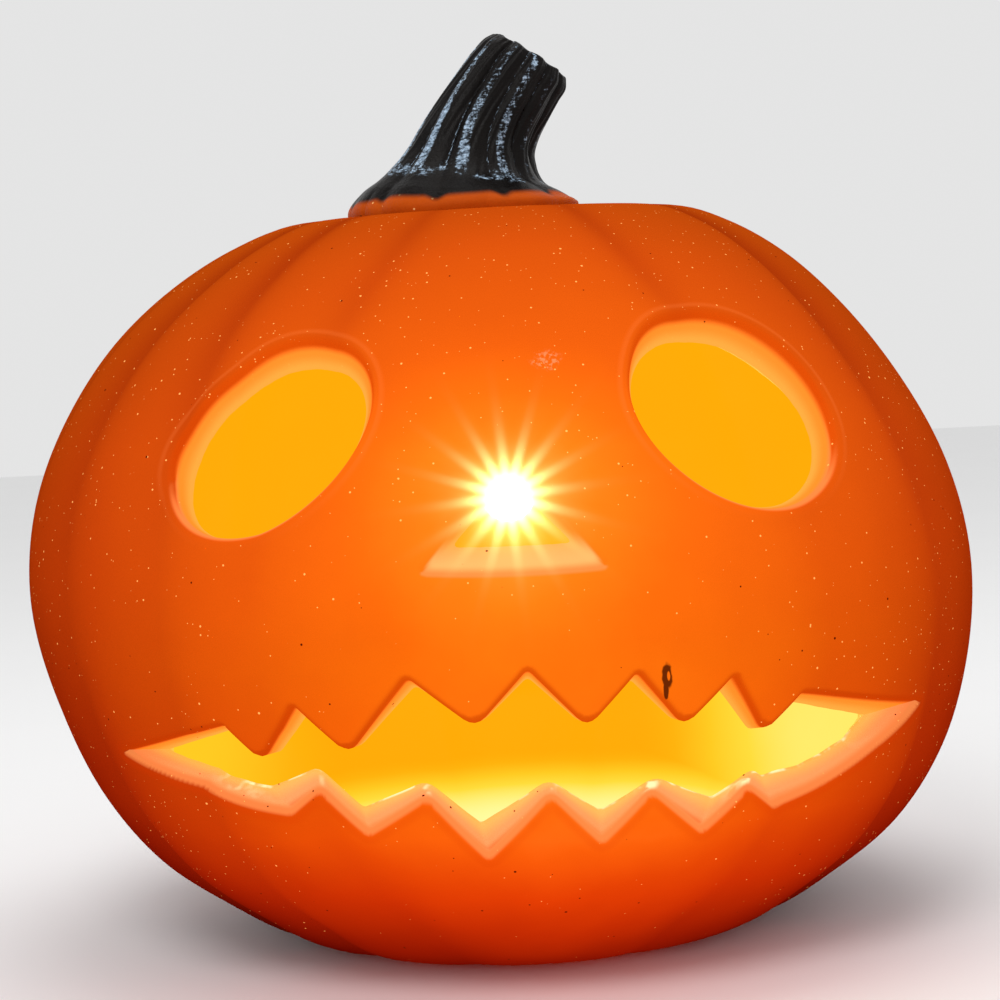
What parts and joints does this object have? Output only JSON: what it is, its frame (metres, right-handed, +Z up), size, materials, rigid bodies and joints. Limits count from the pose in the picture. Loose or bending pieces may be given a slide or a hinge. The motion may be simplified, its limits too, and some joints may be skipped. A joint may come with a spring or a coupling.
{
  "type": "light-up pumpkin lantern",
  "caption": "Hollow ribbed pumpkin lantern with cut-out eyes, nose and toothed mouth, curved stem and a push-in battery lamp in the back.",
  "frame": {"origin": "middle of the flat base, on the surface it stands on", "axes": "+Z up, the face looks along -Y, +X to the viewer's right when facing the face"},
  "size_m": [0.3002, 0.2926, 0.2826],
  "materials": {
    "orange_plastic": "satin translucent moulded plastic with cream and brown flecks",
    "painted_stem": "gloss black paint over orange plastic, dry-brushed highlights",
    "steel": "zinc plated",
    "dark_plastic": "dark brown fine-textured plastic",
    "seal_rubber": "soft black rubber",
    "board": "green circuit board",
    "chip_plastic": "black epoxy",
    "led": "yellow phosphor, lit",
    "diffuser": "frosted clear plastic",
    "red_insulation": "vinyl",
    "black_insulation": "vinyl",
    "cell_wrap": "printed metal jacket",
    "spring_steel": "nickel plated",
    "knob_plastic": "black switch knob"
  },
  "bodies": {
    "shell": {"pumpkin_shell": "orange_plastic", "stem": "painted_stem", "stem_washer": "steel", "stem_screw": "steel"},
    "lamp_module": {"lamp_housing": "dark_plastic", "port_seal": "seal_rubber", "front_cover": "dark_plastic", "cover_screws": "steel", "circuit_board": "board", "board_chips": "chip_plastic", "led_board": "board", "led_chip": "led", "led_diffuser": "diffuser", "red_lead": "red_insulation", "black_lead": "black_insulation", "battery_cells": "cell_wrap", "contact_plates": "spring_steel", "contact_springs": "spring_steel", "hinge_pin": "steel", "switch_body": "chip_plastic"},
    "door": {"battery_door": "dark_plastic", "door_screw": "steel"},
    "knob": {"switch_knob": "knob_plastic"}
  },
  "joints": [
    {"name": "module_pull", "type": "slide", "parent": "shell", "child": "lamp_module", "axis": [0, 1, 0], "range_m": [0, 0.12]},
    {"name": "door_hinge", "type": "hinge", "parent": "lamp_module", "child": "door", "pos_m": [0.0345, 0.1363, 0.114], "axis": [0, 0, -1], "range_deg": [0, 110]},
    {"name": "switch_slide", "type": "slide", "parent": "lamp_module", "child": "knob", "axis": [-1, 0, 0], "range_m": [0, 0.004]}
  ]
}
